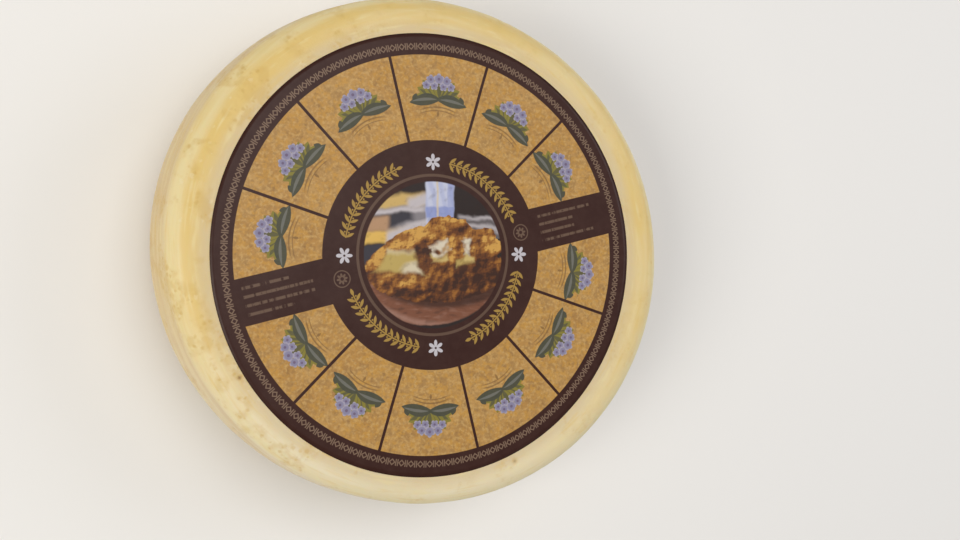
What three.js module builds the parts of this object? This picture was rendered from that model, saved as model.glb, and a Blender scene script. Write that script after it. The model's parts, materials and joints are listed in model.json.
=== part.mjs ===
// A whole wheel of semi-hard mountain cheese with its round paper label.
//
// Frame: millimetres, +Z up. The wheel lies on its lower flat face, and the origin is the middle
// of that face. The label is on the upper face, and +Y points to the top of its print.
//
// The wheel is one solid: paste and natural rind are the same piece of cheese. It was pressed in a
// hoop and turned by hand while it ripened, so it is slightly oval, its side bulges a little, and
// both edges are round. The label is a thin disc of printed paper, stuck flat on the upper face.

import * as THREE from "three";

// Driving dimensions
const WHEEL_RADIUS = 147.4; // mean radius where the rounded edges meet the side
const WHEEL_HEIGHT = 80;
const SIDE_BULGE = 2.6; // how far the side stands out at mid height
const UPPER_EDGE_RADIUS = 15;
const LOWER_EDGE_RADIUS = 13;
const OVAL_SHARE = 0.02; // the long half axis is this share over the mean, the short one under it
const OVAL_ANGLE = THREE.MathUtils.degToRad(-23); // from +X to the long axis

const LABEL_RADIUS = 125;
const LABEL_THICKNESS = 0.2;
const LABEL_SHIFT = new THREE.Vector2(-2, -2.5); // the label was laid on slightly off the middle

// Facets
const WHEEL_SIDES = 96;
const LABEL_SIDES = 144;
const EDGE_STEPS = 6; // facets across each rounded edge
const SIDE_STEPS = 6; // facets up the side

// The upper or lower rounded edge, as [radius, height] points from startAngle to endAngle.
// Angle 0 points outwards and a right angle points up.
function roundedEdge(edgeRadius, centreHeight, startAngle, endAngle) {
  const points = [];
  for (let i = 0; i <= EDGE_STEPS; i++) {
    const angle = THREE.MathUtils.lerp(startAngle, endAngle, i / EDGE_STEPS);
    const radius = WHEEL_RADIUS - edgeRadius + edgeRadius * Math.cos(angle);
    points.push(new THREE.Vector2(radius, centreHeight + edgeRadius * Math.sin(angle)));
  }
  return points;
}

// The side between the two edges: a parabola that stands out by SIDE_BULGE at its middle.
function bulgingSide() {
  const bottom = LOWER_EDGE_RADIUS;
  const top = WHEEL_HEIGHT - UPPER_EDGE_RADIUS;
  const points = [];
  for (let i = 1; i < SIDE_STEPS; i++) {
    const share = i / SIDE_STEPS;
    const radius = WHEEL_RADIUS + SIDE_BULGE * 4 * share * (1 - share);
    points.push(new THREE.Vector2(radius, THREE.MathUtils.lerp(bottom, top, share)));
  }
  return points;
}

// LatheGeometry turns its profile about Y, so the solid is stood up to make that axis Z.
function turnedAboutZ(profile, sides) {
  const geometry = new THREE.LatheGeometry(profile, sides);
  geometry.rotateX(Math.PI / 2);
  return geometry;
}

// Stretches a round solid into the wheel's oval, about the Z axis.
function makeOval(geometry) {
  const position = geometry.getAttribute("position");
  for (let i = 0; i < position.count; i++) {
    const x = position.getX(i);
    const y = position.getY(i);
    const stretch = 1 + OVAL_SHARE * Math.cos(2 * (Math.atan2(y, x) - OVAL_ANGLE));
    position.setXY(i, x * stretch, y * stretch);
  }
  geometry.computeVertexNormals();
  return geometry;
}

function makeWheel() {
  const quarter = Math.PI / 2;
  const profile = [
    new THREE.Vector2(0, 0),
    ...roundedEdge(LOWER_EDGE_RADIUS, LOWER_EDGE_RADIUS, -quarter, 0),
    ...bulgingSide(),
    ...roundedEdge(UPPER_EDGE_RADIUS, WHEEL_HEIGHT - UPPER_EDGE_RADIUS, 0, quarter),
    new THREE.Vector2(0, WHEEL_HEIGHT),
  ];
  const rind = new THREE.MeshStandardMaterial({ color: 0xe3ca92, roughness: 0.55, metalness: 0 });
  const wheel = new THREE.Mesh(makeOval(turnedAboutZ(profile, WHEEL_SIDES)), rind);
  wheel.name = "cheese_wheel";
  return wheel;
}

function makeLabel() {
  const profile = [
    new THREE.Vector2(0, 0),
    new THREE.Vector2(LABEL_RADIUS, 0),
    new THREE.Vector2(LABEL_RADIUS, LABEL_THICKNESS),
    new THREE.Vector2(0, LABEL_THICKNESS),
  ];
  const paper = new THREE.MeshStandardMaterial({ color: 0xc79a5b, roughness: 0.6, metalness: 0 });
  const label = new THREE.Mesh(turnedAboutZ(profile, LABEL_SIDES), paper);
  label.name = "paper_label";
  label.position.set(LABEL_SHIFT.x, LABEL_SHIFT.y, WHEEL_HEIGHT);
  return label;
}

const cheese = new THREE.Group();
cheese.add(makeWheel(), makeLabel());

export default cheese;
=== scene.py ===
# %% [markdown]
# # A whole wheel of mountain cheese
# A semi-hard cheese is pressed in a hoop, turned by hand and ripened on boards until its outside has
# dried to a smooth straw-yellow rind. A round paper label then goes on the upper face. The real thing is
# only these two pieces, so this lesson spends its time on their surfaces: the soft, slightly uneven form
# of the cheese and its mottled rind, and a label printed in brown, gold and a few small colours.
#
# The packed CAD model gives the true size and place of both pieces. It is loaded first, and everything
# below is measured from it, in metres.

import json
import math
import random

import bpy
import numpy as np
from mathutils import Euler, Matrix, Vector, noise

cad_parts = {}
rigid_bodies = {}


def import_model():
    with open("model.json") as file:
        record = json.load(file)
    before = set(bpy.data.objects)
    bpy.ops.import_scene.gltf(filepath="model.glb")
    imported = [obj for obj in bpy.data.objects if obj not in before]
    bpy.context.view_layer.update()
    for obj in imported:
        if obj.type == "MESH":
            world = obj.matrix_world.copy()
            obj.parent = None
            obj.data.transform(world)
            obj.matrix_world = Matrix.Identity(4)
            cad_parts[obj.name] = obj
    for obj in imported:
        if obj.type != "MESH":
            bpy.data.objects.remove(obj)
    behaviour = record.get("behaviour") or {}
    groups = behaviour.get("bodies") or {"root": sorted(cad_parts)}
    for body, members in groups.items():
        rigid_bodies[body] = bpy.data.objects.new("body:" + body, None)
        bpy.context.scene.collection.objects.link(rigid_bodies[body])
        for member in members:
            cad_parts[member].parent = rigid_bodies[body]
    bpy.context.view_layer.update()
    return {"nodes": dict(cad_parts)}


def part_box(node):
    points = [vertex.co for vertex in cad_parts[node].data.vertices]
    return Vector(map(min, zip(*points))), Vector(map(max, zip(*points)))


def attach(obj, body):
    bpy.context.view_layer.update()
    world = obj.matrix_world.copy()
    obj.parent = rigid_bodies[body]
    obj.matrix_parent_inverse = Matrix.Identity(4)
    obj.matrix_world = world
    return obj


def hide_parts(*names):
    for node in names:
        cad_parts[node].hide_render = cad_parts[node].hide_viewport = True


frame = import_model()
print("CAD nodes:", sorted(frame["nodes"]))

# %% [markdown]
# ## Measures
# A printer and a cheese maker both think in millimetres, and Blender works in metres, so MM turns the
# one into the other. The wheel is slightly oval, because soft curd gives a little each time it is turned.
# How oval it is follows from its box: the CAD script turned the long axis 23 degrees to the right, which
# leaves a known share of the difference between the box's width and depth.

# %% Measure the wheel and the label
MM = 0.001

wheel_low, wheel_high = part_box("cheese_wheel")
label_low, label_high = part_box("paper_label")
wheel_width = wheel_high.x - wheel_low.x
wheel_depth = wheel_high.y - wheel_low.y
wheel_height = wheel_high.z
mean_radius = (wheel_width + wheel_depth) / 4
oval_angle = math.radians(-23)
oval_share = (wheel_width - wheel_depth) / (wheel_width + wheel_depth) / math.cos(2 * oval_angle)
label_centre = (label_low + label_high) / 2
label_radius = (label_high.x - label_low.x) / 2
print(f"wheel: mean radius {mean_radius / MM:.1f} mm, oval by {oval_share:.1%}")
print(f"label: radius {label_radius / MM:.1f} mm at {label_centre / MM}")

# %% [markdown]
# ## Camera
# The wheel lies flat and the camera looks down on it from above its left side, so that the print is
# nearly square-on and a narrow strip of the side wall shows. The camera is placed by where its middle
# line meets the label, how far away it stands, and how far it leans. That is easier to adjust than three
# coordinates, because each of the numbers changes only one thing in the picture.

# %% Place the camera
CAMERA_DISTANCE = 0.639
CAMERA_LEAN_LEFT = math.radians(23.0)
CAMERA_LEAN_DOWN = math.radians(0.54)
AIM_OFF_LABEL = Vector((27.7 * MM, -8.4 * MM, 0))
SENSOR_WIDTH = 36  # this and the lens are in millimetres, as on a real camera
LENS_LENGTH = 41.8

camera_data = bpy.data.cameras.new("studio_camera")
camera_data.sensor_width = SENSOR_WIDTH
camera_data.lens = LENS_LENGTH
camera = bpy.data.objects.new("studio_camera", camera_data)
bpy.context.scene.collection.objects.link(camera)
camera_turn = Euler((CAMERA_LEAN_DOWN, -CAMERA_LEAN_LEFT, 0))
aim = Vector((label_centre.x, label_centre.y, label_high.z)) + AIM_OFF_LABEL
camera.rotation_euler = camera_turn
camera.location = aim + camera_turn.to_matrix() @ Vector((0, 0, CAMERA_DISTANCE))
bpy.context.scene.camera = camera
print("camera stands at", camera.location)

# %% [markdown]
# ## Studio
# Food needs soft light, because hard light would make the rind look like plastic. A large lamp to the
# left does most of the work and models the rounded edge. A weaker one on the right opens the shadows. A
# third hangs high above, just past the wheel, and lays a faint haze over part of the print. A pale
# surround lights the rest, and the floor is plain and pale.

# %% Make the floor and the lights
def colour(red, green, blue):
    """A colour mixed on a screen, 0 to 255, turned into the linear light that Blender counts in."""
    shares = [part / 255 for part in (red, green, blue)]
    linear = [s / 12.92 if s <= 0.04045 else ((s + 0.055) / 1.055) ** 2.4 for s in shares]
    return (*linear, 1.0)


def area_lamp(name, place, size, power, tint):
    """A square soft light that faces the middle of the wheel's upper face."""
    data = bpy.data.lights.new(name, "AREA")
    data.size = size
    data.energy = power
    data.color = colour(*tint)[:3]
    lamp = bpy.data.objects.new(name, data)
    bpy.context.scene.collection.objects.link(lamp)
    lamp.location = place
    towards_wheel = Vector((0, 0, wheel_height)) - lamp.location
    lamp.rotation_euler = towards_wheel.to_track_quat("-Z", "Y").to_euler()


LAMPS = (  # name, place and size in metres, power in watts, and tint
    ("key_lamp", (-1.7, -0.45, 1.5), 1.1, 25.1, (255, 251, 243)),
    ("fill_lamp", (2.0, 0.6, 1.4), 1.5, 15.0, (251, 251, 255)),
    ("top_lamp", (0.1, 0.5, 2.2), 1.2, 14.2, (255, 253, 250)),
)
FLOOR_HALF_WIDTH = 4.0
FLOOR_PAINT = colour(236, 234, 230)
SURROUND_TINT = colour(240, 241, 245)
SURROUND_STRENGTH = 0.4

floor_mesh = bpy.data.meshes.new("floor")
half = FLOOR_HALF_WIDTH
corners = [(-half, -half, 0), (half, -half, 0), (half, half, 0), (-half, half, 0)]
floor_mesh.from_pydata(corners, [], [(0, 1, 2, 3)])
floor = bpy.data.objects.new("floor", floor_mesh)
bpy.context.scene.collection.objects.link(floor)
floor_paint = bpy.data.materials.new("floor_paint")
floor_paint.use_nodes = True
floor_shader = floor_paint.node_tree.nodes["Principled BSDF"]
floor_shader.inputs["Base Color"].default_value = FLOOR_PAINT
floor_shader.inputs["Roughness"].default_value = 0.8
floor_mesh.materials.append(floor_paint)

for lamp_values in LAMPS:
    area_lamp(*lamp_values)

surround = bpy.data.worlds.new("surround")
surround.use_nodes = True
background = surround.node_tree.nodes["Background"]
background.inputs["Color"].default_value = SURROUND_TINT
background.inputs["Strength"].default_value = SURROUND_STRENGTH
bpy.context.scene.world = surround
bpy.context.scene.view_settings.view_transform = "Standard"

# %% [markdown]
# ## A skin over rings
# Both pieces are round, so both are built as a stack of rings of points with faces stretched between
# them. A plain stack has the same number of points in every ring, which gives needle-thin faces in the
# middle and wastes them there. Here a ring has half as many points each time the radius halves, and
# three triangles join one stretch of the small ring to two of the large one.

# %% Rings and the skin between them
WHEEL_POINTS = (800, 50)  # how many points the wheel's widest and smallest rings have
HALVE_EARLY = 0.3  # a ring has its points halved a little before its radius is


def points_round(radius, full_radius, most, fewest):
    """How many points a ring has, so that faces keep about the same width towards the middle."""
    halvings = int(math.log2(full_radius / radius) + HALVE_EARLY) if radius < full_radius else 0
    return max(fewest, most >> halvings)


def join_rings(first, first_size, second, second_size):
    """Faces between two rings, given by the number of their first point and how many points they have."""
    faces = []
    for i in range(min(first_size, second_size)):
        if first_size == second_size:
            after = (i + 1) % first_size
            faces.append((first + i, first + after, second + after, second + i))
        elif first_size > second_size:
            a, b, c = first + 2 * i, first + 2 * i + 1, first + (2 * i + 2) % first_size
            d, e = second + i, second + (i + 1) % second_size
            faces += [(a, b, d), (b, e, d), (b, c, e)]
        else:
            a, b = first + i, first + (i + 1) % first_size
            c, d, e = second + 2 * i, second + 2 * i + 1, second + (2 * i + 2) % second_size
            faces += [(a, d, c), (a, b, d), (b, e, d)]
    return faces


def skin_over(sizes):
    """Faces over a stack of rings that is closed by one point below and one above."""
    starts = [1]
    for size in sizes:
        starts.append(starts[-1] + size)
    faces = [(0, 1 + (i + 1) % sizes[0], 1 + i) for i in range(sizes[0])]
    for ring in range(len(sizes) - 1):
        faces += join_rings(starts[ring], sizes[ring], starts[ring + 1], sizes[ring + 1])
    top, last = starts[-1], starts[-2]
    faces += [(last + i, last + (i + 1) % sizes[-1], top) for i in range(sizes[-1])]
    return faces


def new_piece(name, points, faces):
    """A smooth-shaded mesh object, linked to the scene."""
    mesh = bpy.data.meshes.new(name)
    mesh.from_pydata(points.tolist(), [], faces)
    mesh.shade_smooth()
    piece = bpy.data.objects.new(name, mesh)
    bpy.context.scene.collection.objects.link(piece)
    return piece


print("at a radius of 40 mm a ring has", points_round(40 * MM, mean_radius, *WHEEL_POINTS), "points")

# %% [markdown]
# ## The pressed form
# Before it ripens the wheel has the shape of its hoop: flat faces, round edges and a side that bulges a
# little under the press. One profile, from the middle of the lower face round to the middle of the upper
# one, describes all of it. Each point also says which way the surface faces there, because the ripened
# surface is later pushed in along that direction. The rings lie close where the rind shows, and further
# apart where the label or the floor hides it.

# %% Draw the profile of the wheel
SIDE_BULGE = 2.6 * MM
UPPER_EDGE = 15 * MM
LOWER_EDGE = 13 * MM
SMALLEST_RING = 6 * MM
SHOWN_UNDER_LABEL = 6 * MM  # how far the closely spaced rings go on under the label's edge
LOWER_FACE_RINGS, LOWER_EDGE_RINGS, SIDE_RINGS = 34, 15, 39
UPPER_EDGE_RINGS, OPEN_FACE_RINGS, COVERED_FACE_RINGS = 19, 12, 20
hoop_radius = mean_radius - SIDE_BULGE


def wheel_profile():
    """(radius, height, tilt) from the lower middle to the upper. Tilt 0 faces out, and 90 degrees up."""
    quarter = math.pi / 2
    side_low, side_high = LOWER_EDGE, wheel_height - UPPER_EDGE
    radii = np.linspace(SMALLEST_RING, hoop_radius - LOWER_EDGE, LOWER_FACE_RINGS)
    profile = [(radius, 0, -quarter) for radius in radii[:-1]]
    for tilt in np.linspace(-quarter, 0, LOWER_EDGE_RINGS)[:-1]:
        radius = hoop_radius - LOWER_EDGE + LOWER_EDGE * math.cos(tilt)
        profile.append((radius, side_low + LOWER_EDGE * math.sin(tilt), tilt))
    for share in np.linspace(0, 1, SIDE_RINGS):
        slope = 4 * SIDE_BULGE * (1 - 2 * share) / (side_high - side_low)
        radius = hoop_radius + 4 * SIDE_BULGE * share * (1 - share)
        profile.append((radius, side_low + share * (side_high - side_low), -math.atan(slope)))
    for tilt in np.linspace(0, quarter, UPPER_EDGE_RINGS)[1:]:
        radius = hoop_radius - UPPER_EDGE + UPPER_EDGE * math.cos(tilt)
        profile.append((radius, side_high + UPPER_EDGE * math.sin(tilt), tilt))
    shown_to = label_radius - SHOWN_UNDER_LABEL
    open_face = np.linspace(hoop_radius - UPPER_EDGE, shown_to, OPEN_FACE_RINGS)[1:]
    covered_face = np.linspace(shown_to, SMALLEST_RING, COVERED_FACE_RINGS)[1:]
    return profile + [(radius, wheel_height, quarter) for radius in (*open_face, *covered_face)]


def pressed_form(profile):
    """The points of the pressed wheel, the way each one faces, and the size of each ring."""
    sizes = [points_round(radius, mean_radius, *WHEEL_POINTS) for radius, height, tilt in profile]
    points, facing = [(0, 0, 0)], [(0, 0, -1)]
    for (radius, height, tilt), size in zip(profile, sizes):
        for turn in np.arange(size) * 2 * math.pi / size:
            oval = radius * (1 + oval_share * math.cos(2 * (turn - oval_angle)))
            points.append((oval * math.cos(turn), oval * math.sin(turn), height))
            flat = math.cos(tilt)
            facing.append((flat * math.cos(turn), flat * math.sin(turn), math.sin(tilt)))
    points.append((0, 0, wheel_height))
    facing.append((0, 0, 1))
    return np.array(points), np.array(facing), sizes


pressed, facing, ring_sizes = pressed_form(wheel_profile())
print("the pressed form has", len(pressed), "points in", len(ring_sizes), "rings")

# %% [markdown]
# ## What ripening does to it
# Months on a board leave a wheel slightly uneven. It sinks in broad, soft hollows, and the hoop has left
# a faint seam or two round the side. Both are real shape, so they are made by moving points and not by a
# material. Blender's own noise gives the hollows: three sizes of it on top of each other look natural,
# where one alone looks like a wave tank. Every move is inwards, so the wheel never grows past its
# measured size.

# %% Sink the hollows and the seams
HOLLOWS = (  # width, greatest depth, and where in the noise it is read
    (75 * MM, 0.72 * MM, 3.1),
    (24 * MM, 0.34 * MM, 7.7),
    (7 * MM, 0.09 * MM, 12.9),
)
UNDERSIDE_SHARE = 0.25  # the board keeps the lower face flatter than the rest
SEAM_WIDTH = 2.0 * MM
HOOP_SEAMS = ((24 * MM, 0.2 * MM, 0.4), (54 * MM, 0.26 * MM, 2.2))  # height, greatest depth, phase


def hollow_at(x, y, z):
    """How far the ripened surface lies inside the pressed form at one point."""
    depth = 0
    for size, most, offset in HOLLOWS:
        place = Vector((x / size + offset, y / size - offset, z / size + offset / 2))
        depth += most * (0.5 + 0.5 * noise.noise(place))
    return depth


def hoop_seams(points, facing):
    """Two faint grooves round the side, deeper in some places than in others."""
    depth = np.zeros(len(points))
    turn = np.arctan2(points[:, 1], points[:, 0])
    side = np.clip(1 - 2 * np.abs(facing[:, 2]), 0, 1)
    for height, deepest, phase in HOOP_SEAMS:
        wander = height + 1.2 * MM * np.sin(3 * turn + phase) + 0.5 * MM * np.sin(7 * turn - phase)
        fade = 0.55 + 0.45 * np.sin(2 * turn + phase) * np.sin(5 * turn + 2 * phase)
        depth += deepest * fade * side * np.exp(-(((points[:, 2] - wander) / SEAM_WIDTH) ** 2))
    return depth


hollows = np.array([hollow_at(*point) for point in pressed])
lower_face = np.clip(-facing[:, 2], 0, 1)
hollows -= lower_face * (hollows.min() + (1 - UNDERSIDE_SHARE) * (hollows - hollows.min()))
seams = hoop_seams(pressed, facing)
print(f"hollows reach {hollows.max() / MM:.2f} mm and seams {seams.max() / MM:.2f} mm")

# %% [markdown]
# ## Pits and nicks
# Here and there a small eye near the surface has opened into a shallow pit. Pits lie anywhere, so they
# are scattered by chance, with a fixed seed that gives the same wheel each time. Two nicks beside the
# label are browner than the rest and deeper than most, and have a fixed place. Each pit and nick also
# leaves a stain, stronger in some than in others.

# %% Scatter the pits and cut the nicks
UPPER_FACE_TILT = 0.99  # how much of its direction points up where the upper face is flat
UNPITTED = 4 * MM  # no pit is scattered under the label or closer to it than this
PIT_COUNT = 90
PIT_SEED = 23
PIT_RADII = (1.4, 4.0)  # in millimetres
PIT_DEPTHS = (0.08, 0.17)  # as shares of the radius
NICK_DEPTH = 0.25  # as a share of the radius
NICKS = (  # direction in degrees, millimetres off the label, radius in millimetres, stain
    (211, 2.6, 2.5, 0.92),
    (293, 4.1, 2.8, 0.8),
)


def scatter_pits(points, facing):
    """Small shallow pits at random places that show. Returns the depth and a stain strength per point."""
    chance = random.Random(PIT_SEED)
    from_label = np.hypot(points[:, 0] - label_centre.x, points[:, 1] - label_centre.y)
    hidden = (facing[:, 2] > UPPER_FACE_TILT) & (from_label < label_radius + UNPITTED)
    open_points = np.flatnonzero(~hidden)
    depth, stain = np.zeros(len(points)), np.zeros(len(points))
    for _ in range(PIT_COUNT):
        middle = points[chance.choice(open_points)]
        radius = chance.uniform(*PIT_RADII) * MM * chance.uniform(0.7, 1.0)
        deepest = radius * chance.uniform(*PIT_DEPTHS)
        away = np.linalg.norm(points - middle, axis=1)
        depth += deepest * np.clip(1 - (away / radius) ** 2, 0, None) ** 2
        stain += 0.8 * chance.random() ** 2 * np.clip(1 - (away / (1.2 * radius)) ** 2, 0, None)
    return depth, stain


def nick(points, facing, direction, off_label, radius):
    """The depth and the stain of one small nick in the upper face, close outside the label's edge."""
    out = label_radius + off_label
    x = label_centre.x + out * math.cos(direction)
    y = label_centre.y + out * math.sin(direction)
    gap = np.hypot(points[:, 0] - x, points[:, 1] - y)
    gap[facing[:, 2] < UPPER_FACE_TILT] = math.inf
    away = np.linalg.norm(points - points[gap.argmin()], axis=1)
    hole = np.clip(1 - (away / radius) ** 2, 0, None)
    return NICK_DEPTH * radius * hole, hole


pit_depth, pit_stain = scatter_pits(pressed, facing)
for degrees, off_label, radius, strength in NICKS:
    hole, mark = nick(pressed, facing, math.radians(degrees), off_label * MM, radius * MM)
    pit_depth += hole
    pit_stain += strength * mark
pit_stain = np.clip(pit_stain, 0, 1)
print(f"{PIT_COUNT} pits and {len(NICKS)} nicks, up to {pit_depth.max() / MM:.2f} mm deep")

# %% [markdown]
# ## The cheese itself
# Hollows, seams and pits are added up, and every point moves in by their sum. The points then become a
# mesh, and each one keeps how strongly a pit has stained it. That value is stored as an attribute, which
# the rind's material reads later, so colour and shape agree.

# %% Build the cheese
sunk = hollows + seams + pit_depth
ripened = pressed - facing * sunk[:, None]
ripened[:, 2] -= ripened[:, 2].min()
cheese = new_piece("cheese_body", ripened, skin_over(ring_sizes))
stain_attribute = cheese.data.attributes.new("pit_stain", "FLOAT", "POINT")
stain_attribute.data.foreach_set("value", pit_stain)
print("cheese_body:", len(cheese.data.polygons), "faces")

# %% [markdown]
# ## The label as a sheet of paper
# The label is glued down, so it has to follow the hollows of the cheese. It uses the same hollow_at
# function as the wheel, and is therefore in touch with it everywhere. It is a closed sheet with a
# printed upper face, a cut edge and an underside. Its UV map puts the printed face over nearly the whole
# square, because that is where the detail is, and tucks the plain paper into a free corner.

# %% Build the label
PAPER_THICKNESS = label_high.z - label_low.z
GLUE_DEPTH = 0.05 * MM  # the rind has grown round the paper by this much
LABEL_RINGS = 50
LABEL_POINTS = (512, 32)  # how many points the widest and smallest rings have
PRINT_PLACE = (0.49, 0.5)  # the printed face in the UV square: half its width, and its middle both ways
CORNER_PLACE = (0.065, 0.08)  # the same for the cut edge and the underside


def label_sheet():
    """The label's points, where each lies in the UV square, and the size of each ring."""
    radii = [label_radius * (i + 1) / LABEL_RINGS for i in range(LABEL_RINGS)]
    sizes = [points_round(radius, label_radius, *LABEL_POINTS) for radius in radii]
    stack = [(0, 1, -GLUE_DEPTH, *CORNER_PLACE)]
    stack += [(r, n, -GLUE_DEPTH, *CORNER_PLACE) for r, n in zip(radii, sizes)]
    stack += [(r, n, PAPER_THICKNESS, *PRINT_PLACE) for r, n in zip(radii[::-1], sizes[::-1])]
    stack.append((0, 1, PAPER_THICKNESS, *PRINT_PLACE))
    points, places = [], []
    for radius, size, lift, span, middle in stack:
        for turn in np.arange(size) * 2 * math.pi / size:
            across, up = radius * math.cos(turn), radius * math.sin(turn)
            x, y = label_centre.x + across, label_centre.y + up
            points.append((x, y, wheel_height - hollow_at(x, y, wheel_height) + lift))
            places.append((middle + span * across / label_radius, middle + span * up / label_radius))
    return np.array(points), places, sizes + sizes[::-1]


sheet_points, sheet_places, sheet_sizes = label_sheet()
label = new_piece("label_sheet", sheet_points, skin_over(sheet_sizes))
label_map = label.data.uv_layers.new(name="OFBake")
half_way = len(sheet_points) // 2
for face in label.data.polygons:
    printed = min(face.vertices) >= half_way
    face.material_index = 0 if printed else 1
    for corner in face.loop_indices:
        point = label.data.loops[corner].vertex_index
        if not printed and point >= half_way:  # the upper end of the cut edge
            point -= sheet_sizes[-LABEL_RINGS]
        label_map.data[corner].uv = sheet_places[point]
print("label_sheet:", len(label.data.polygons), "faces,", f"{PAPER_THICKNESS / MM:.1f} mm thick")

# %% [markdown]
# ## Writing nodes like sums
# A material in Blender is a net of small nodes. Wired by hand in a script, even a simple formula takes
# a dozen lines, so this lesson uses a small helper. A Recipe adds nodes to one net, and an Amount is the
# output of a node that can be added and multiplied like an ordinary number: each sign makes one Math
# node. The net that comes out is the same as one wired by hand. Colours go on as a painter lays on
# coats: paint lays one colour over another where a mask lets it, and coats does so several times.

# %% A helper for node nets
class Amount:
    """A number that changes over the surface."""

    def __init__(self, recipe, socket):
        self.recipe = recipe
        self.socket = socket

    def __add__(self, other):
        return self.recipe.math("ADD", self, other)

    def __sub__(self, other):
        return self.recipe.math("SUBTRACT", self, other)

    def __rsub__(self, other):
        return self.recipe.math("SUBTRACT", other, self)

    def __mul__(self, other):
        return self.recipe.math("MULTIPLY", self, other)

    def __truediv__(self, other):
        return self.recipe.math("DIVIDE", self, other)

    def __abs__(self):
        return self.recipe.math("ABSOLUTE", self)


class Recipe:
    """Adds nodes to one net, in the order in which they work."""

    def __init__(self, tree):
        self.tree = tree

    def node(self, kind, **settings):
        """A new node, to the right of the last one."""
        made = self.tree.nodes.new(kind)
        made.location = (len(self.tree.nodes) * 60, 0)
        for name, value in settings.items():
            setattr(made, name, value)
        return made

    def feed(self, socket, value):
        """Gives a socket a plain value, or links it to another node."""
        value = getattr(value, "socket", value)
        if isinstance(value, bpy.types.NodeSocket):
            self.tree.links.new(value, socket)
        else:
            socket.default_value = value

    def math(self, operation, *values):
        made = self.node("ShaderNodeMath", operation=operation)
        for socket, value in zip(made.inputs, values):
            self.feed(socket, value)
        return Amount(self, made.outputs[0])

    def ramp(self, value, start, end):
        """0 before start and 1 after end, with a soft change between. Start may be above end."""
        made = self.node("ShaderNodeMapRange", interpolation_type="SMOOTHSTEP")
        self.feed(made.inputs["Value"], value)
        self.feed(made.inputs["From Min"], start)
        self.feed(made.inputs["From Max"], end)
        return Amount(self, made.outputs[0])

    def under(self, value, edge, soft):
        """A mask that is 1 where value is below edge."""
        return self.ramp(value, edge + soft / 2, edge - soft / 2)

    def between(self, value, low, high, soft):
        """A mask that is 1 where value lies between low and high."""
        return self.under(abs(value - (low + high) / 2), (high - low) / 2, soft)

    def either(self, *masks):
        """A mask that is 1 where any of the others is. Their product is 1 where all of them are."""
        made = masks[0]
        for mask in masks[1:]:
            made = self.math("MAXIMUM", made, mask)
        return made

    def paint(self, under, mask, over):
        """One colour laid over another where the mask is 1."""
        made = self.node("ShaderNodeMix", data_type="RGBA")
        for socket, value in zip([s for s in made.inputs if s.enabled], (mask, under, over)):
            self.feed(socket, value)
        return [s for s in made.outputs if s.enabled][0]

    def coats(self, ground, *coats):
        """Several colours laid on in turn, each given with its mask."""
        for mask, over in coats:
            ground = self.paint(ground, mask, over)
        return ground

    def parts(self, vector):
        """The three numbers of a vector."""
        made = self.node("ShaderNodeSeparateXYZ")
        self.feed(made.inputs[0], vector)
        return [Amount(self, socket) for socket in made.outputs]

    def vector(self, x, y, z=0.0):
        made = self.node("ShaderNodeCombineXYZ")
        for socket, value in zip(made.inputs, (x, y, z)):
            self.feed(socket, value)
        return made.outputs[0]

    def cloud(self, place, size, detail=2.0, roughness=0.5, bend=0.0):
        """Soft noise between 0 and 1, with lumps about as wide as size."""
        made = self.node("ShaderNodeTexNoise")
        self.feed(made.inputs["Vector"], place)
        self.feed(made.inputs["Scale"], 1 / size if isinstance(size, (int, float)) else size)
        self.feed(made.inputs["Detail"], detail)
        self.feed(made.inputs["Roughness"], roughness)
        self.feed(made.inputs["Distortion"], bend)
        return Amount(self, made.outputs[0])

    def spots(self, place, apart, radius, soft):
        """Round spots at random places, about as far apart as told, and of different sizes."""
        made = self.node("ShaderNodeTexVoronoi")
        self.feed(made.inputs["Vector"], place)
        self.feed(made.inputs["Scale"], 1 / apart)
        size = self.parts(made.outputs["Color"])[0] * (radius / apart)
        return self.ramp(Amount(self, made.outputs["Distance"]) - size, soft / apart, 0.0)

    def bent(self, place, size, most):
        """The place pushed aside by noise, up to about most, so that what is drawn there is uneven."""
        push = self.node("ShaderNodeTexNoise")
        self.feed(push.inputs["Vector"], place)
        self.feed(push.inputs["Scale"], 1 / size)
        centred = self.node("ShaderNodeVectorMath", operation="SUBTRACT")
        self.feed(centred.inputs[0], push.outputs["Color"])
        centred.inputs[1].default_value = (0.5, 0.5, 0.5)
        added = self.node("ShaderNodeVectorMath", operation="MULTIPLY_ADD")
        self.feed(added.inputs[0], centred.outputs[0])
        added.inputs[1].default_value = (2 * most, 2 * most, 2 * most)
        self.feed(added.inputs[2], place)
        return added.outputs[0]

    def place_in_mm(self):
        """Where a point lies on the object, in millimetres."""
        scaled = self.node("ShaderNodeVectorMath", operation="SCALE")
        self.feed(scaled.inputs[0], self.node("ShaderNodeTexCoord").outputs["Object"])
        scaled.inputs["Scale"].default_value = 1 / MM
        return scaled.outputs[0]

    def use(self, group, **values):
        """Places a node group. Its inputs are named in values, and it returns its outputs by name."""
        made = self.node("ShaderNodeGroup", node_tree=group)
        for name, value in values.items():
            self.feed(made.inputs[name], value)
        return {socket.name: Amount(self, socket) for socket in made.outputs}


print("a Recipe can:", ", ".join(name for name in vars(Recipe) if not name.startswith("_")))

# %% [markdown]
# ## Starting a group, a material and a bump
# A node group is a net with named inputs and outputs. It is built once and can be placed in several
# materials, as a stamp is cut once and used on many sheets. A material starts from the Principled
# shader, which stays in the material itself. Both get a Recipe to write in. Unevenness too fine for the
# mesh, such as the grain of paper, is left to a Bump node, which only tilts the light.

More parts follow.
